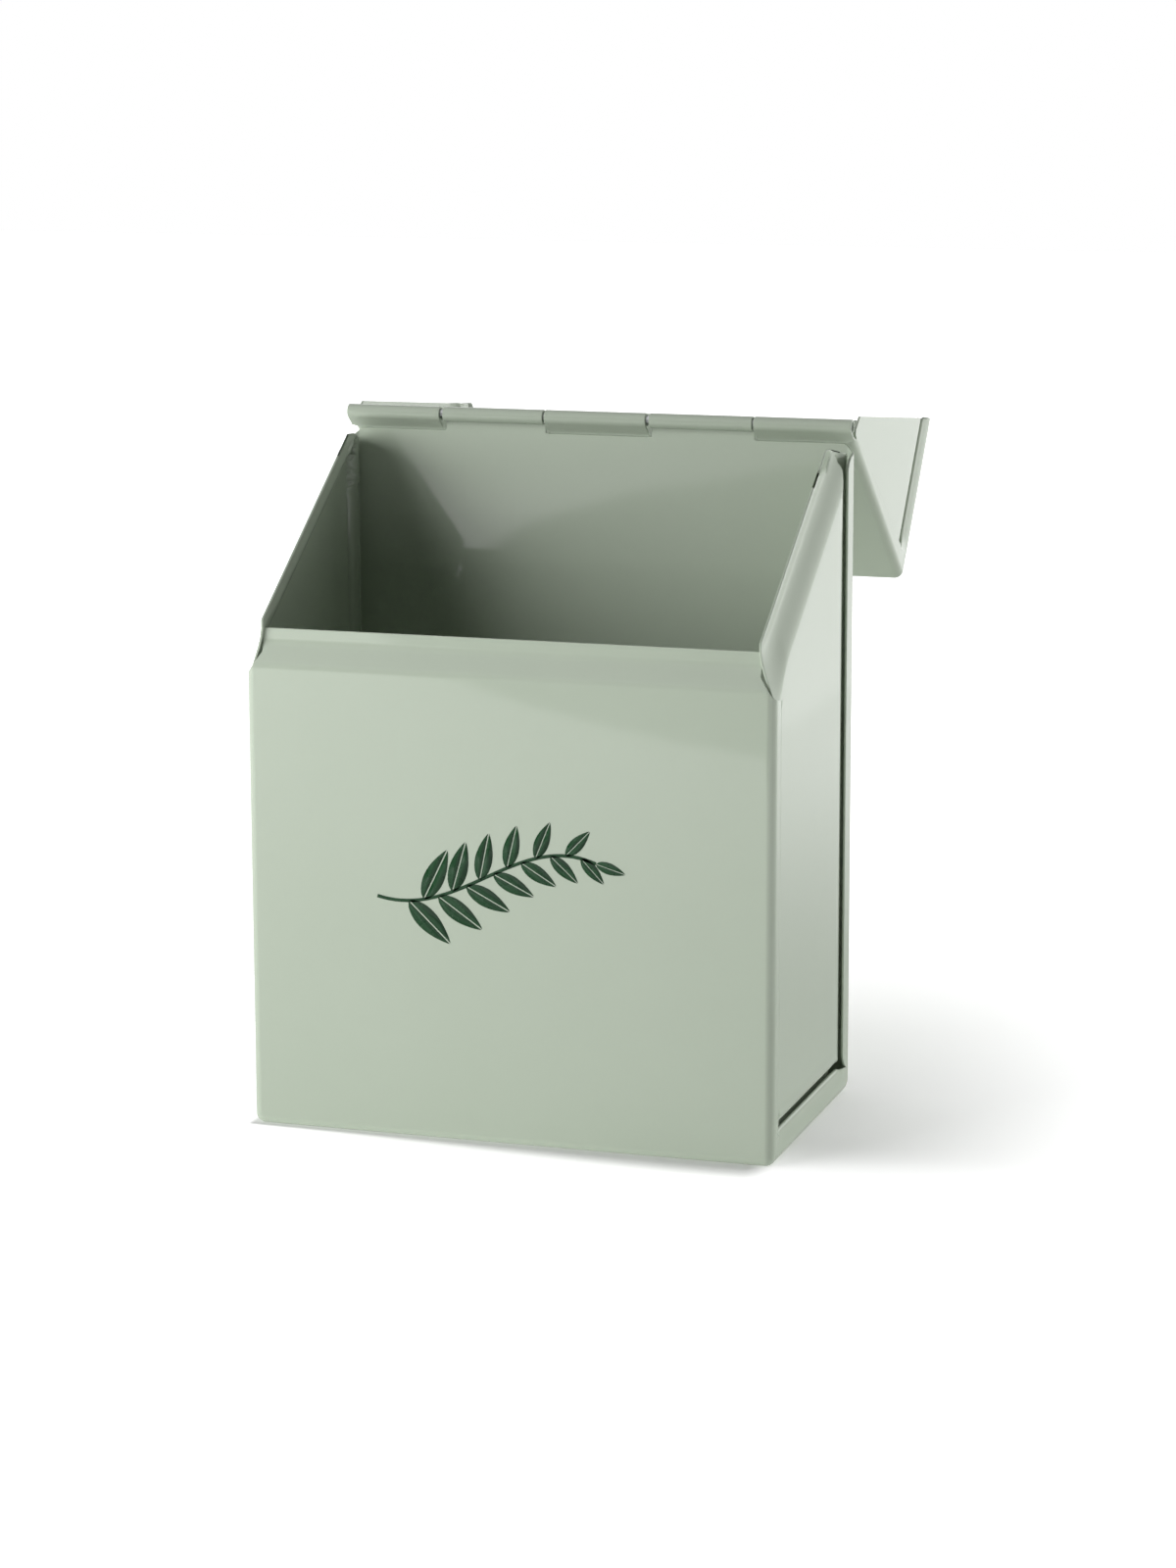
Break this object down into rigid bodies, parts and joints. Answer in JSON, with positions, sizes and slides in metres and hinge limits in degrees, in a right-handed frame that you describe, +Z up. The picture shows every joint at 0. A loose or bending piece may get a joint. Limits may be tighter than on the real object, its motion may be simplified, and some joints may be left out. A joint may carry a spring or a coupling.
{
  "type": "hinged metal organizer box",
  "caption": "Upright sheet metal box for seed packets, open at the top, with a slanted rim and a hooded lid that hangs open on a rolled hinge behind it.",
  "frame": {"origin": "middle of the base face that the closed box footprint stands on", "axes": "+X to the right of the front, +Y from the front to the hinge at the back, +Z up"},
  "size_m": [0.1751, 0.2088, 0.225],
  "materials": {
    "painted_sheet": "glossy powder coat",
    "hinge_wire": "satin"
  },
  "bodies": {
    "body": {"body_wrap": "painted_sheet", "side_panel_left": "painted_sheet", "side_panel_right": "painted_sheet", "hinge_pin": "hinge_wire"},
    "lid": {"lid_shell": "painted_sheet", "lid_cheek_left": "painted_sheet", "lid_cheek_right": "painted_sheet"}
  },
  "joints": [
    {"name": "lid_hinge", "type": "hinge", "parent": "body", "child": "lid", "pos_m": [0, 0.0465, 0.2225], "axis": [1, 0, 0], "range_deg": [0, 218.3]}
  ]
}
